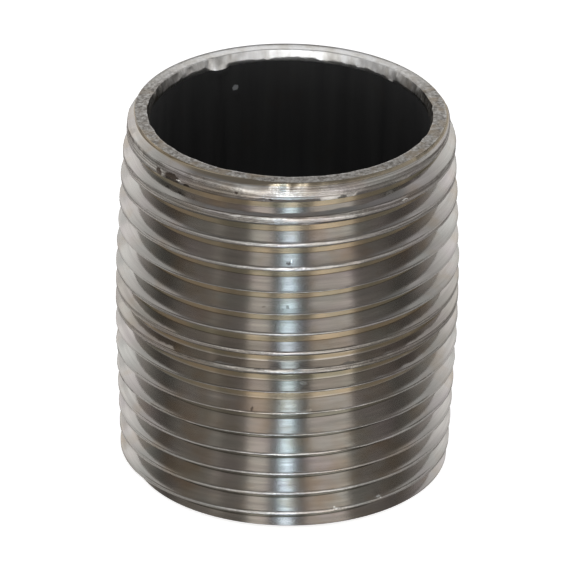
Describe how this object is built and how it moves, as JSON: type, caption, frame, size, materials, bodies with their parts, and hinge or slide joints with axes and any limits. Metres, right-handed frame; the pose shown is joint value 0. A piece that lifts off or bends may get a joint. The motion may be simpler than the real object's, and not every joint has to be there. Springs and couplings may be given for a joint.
{
  "type": "threaded pipe nipple",
  "caption": "Close pipe nipple: short steel tube with taper pipe threads cut from both ends that meet in the middle, bright cut steel outside and a dark bore.",
  "frame": {"origin": "centre of the lower end's plane, on the pipe's axis", "axes": "+Z along the pipe's axis, from the lower end to the upper end; the weld bead in the bore stands at 121 degrees from +X towards +Y"},
  "size_m": [0.0334, 0.0334, 0.0374],
  "materials": {
    "cut_steel": "bright die-cut thread with fine turning marks, brownish in the roots; near-black mill scale in the bore"
  },
  "bodies": {
    "root": {"nipple_body": "cut_steel"}
  },
  "joints": []
}
